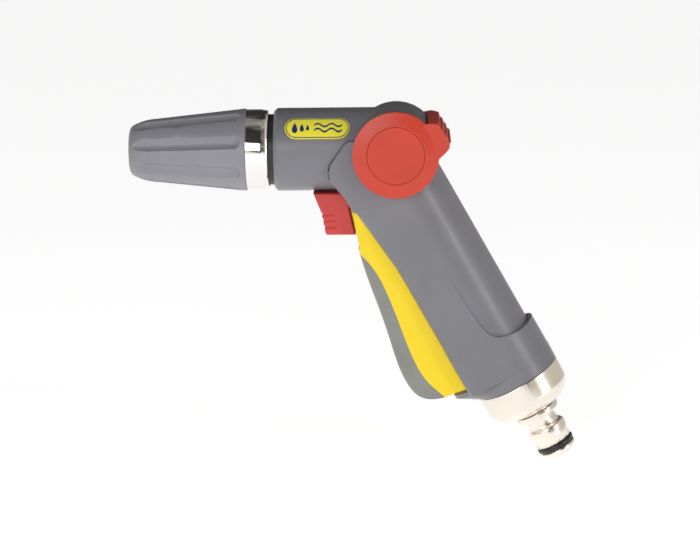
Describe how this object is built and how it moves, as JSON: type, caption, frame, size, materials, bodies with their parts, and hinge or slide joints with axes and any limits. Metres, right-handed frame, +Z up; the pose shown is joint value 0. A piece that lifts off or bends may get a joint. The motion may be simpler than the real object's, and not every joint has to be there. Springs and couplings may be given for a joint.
{
  "type": "hose spray nozzle",
  "caption": "Pistol-grip garden hose spray gun with a fluted twist nozzle, a red flow disc with thumb tab, a squeeze lever with catch, and a quick-connect hose tail.",
  "frame": {"origin": "middle of the hose tail's locking ridge, on the handle's axis", "axes": "+Z up with the barrel level, -X the way the water leaves, -Y the left side of the gun"},
  "size_m": [0.1897, 0.048, 0.1546],
  "materials": {
    "body_grey": "moulded plastic, fine satin texture",
    "pad_grey": "soft-touch rubber",
    "red": "satin moulded plastic",
    "yellow": "satin moulded plastic",
    "badge": "glossy label with blue border",
    "nickel": "satin nickel plate",
    "chrome": "polished chrome plate",
    "black": "black moulded plastic",
    "seal": "black rubber",
    "steel": "plain steel",
    "brass": "machined brass",
    "inner": "natural moulded plastic"
  },
  "bodies": {
    "gun": {"barrel_casing": "body_grey", "neck_ring": "black", "nozzle_spindle": "inner", "spray_stem": "brass", "flow_valve_housing": "inner", "outlet_pipe": "inner", "handle_shell_left": "body_grey", "handle_shell_right": "body_grey", "casing_screws": "steel", "lever_pin": "steel", "catch_pin": "steel", "valve_body": "inner", "valve_cap": "inner", "valve_spring": "steel", "water_pipe_lower": "inner", "water_pipe_upper": "inner", "inlet_collar": "nickel", "hose_tail": "nickel", "hose_tail_seal": "seal", "badge_left": "badge", "badge_right": "badge"},
    "flow_control": {"flow_plug": "inner", "flow_plug_seals": "seal", "flow_disc_left": "red", "flow_disc_right": "red", "disc_cap_left": "red", "disc_cap_right": "red", "disc_screws": "steel", "thumb_bridge": "red"},
    "trigger": {"trigger_lever": "yellow", "trigger_pad": "pad_grey"},
    "catch": {"trigger_catch": "red"},
    "valve_stem": {"valve_plunger": "brass", "valve_washer": "seal"},
    "nozzle_seal_ring": {"nozzle_seal": "seal"},
    "nozzle": {"nozzle_grip": "body_grey", "nozzle_sleeve": "black", "nozzle_trim_ring": "chrome", "jet_insert": "black"}
  },
  "joints": [
    {"name": "nozzle_advance", "type": "slide", "parent": "gun", "child": "nozzle_seal_ring", "axis": [-1, 0, 0], "range_m": [0, 0.005]},
    {"name": "nozzle_twist", "type": "hinge", "parent": "nozzle_seal_ring", "child": "nozzle", "pos_m": [-0.06478, 0, 0.1236], "axis": [-1, 0, 0], "range_deg": [0, 450]},
    {"name": "flow_turn", "type": "hinge", "parent": "gun", "child": "flow_control", "pos_m": [-0.06478, 0, 0.1236], "axis": [0, -1, 0], "range_deg": [0, 60]},
    {"name": "trigger_squeeze", "type": "hinge", "parent": "gun", "child": "trigger", "pos_m": [-0.07286, 0, 0.09962], "axis": [0, -1, 0], "range_deg": [0, 8], "stiffness_Nm_per_rad": 0.6, "springref_deg": -20.05},
    {"name": "valve_open", "type": "slide", "parent": "gun", "child": "valve_stem", "axis": [0.8729, 0, 0.4879], "range_m": [0, 0.0026], "deforming": ["valve_spring"]},
    {"name": "catch_swing", "type": "hinge", "parent": "gun", "child": "catch", "pos_m": [-0.08528, 0, 0.11], "axis": [0, -1, 0], "range_deg": [0, 8]}
  ],
  "couplings": [
    {"joint": "nozzle_advance", "follows": "nozzle_twist", "m_per_rad": 0.00063656},
    {"joint": "valve_open", "follows": "trigger_squeeze", "m_per_rad": 0.018619}
  ]
}
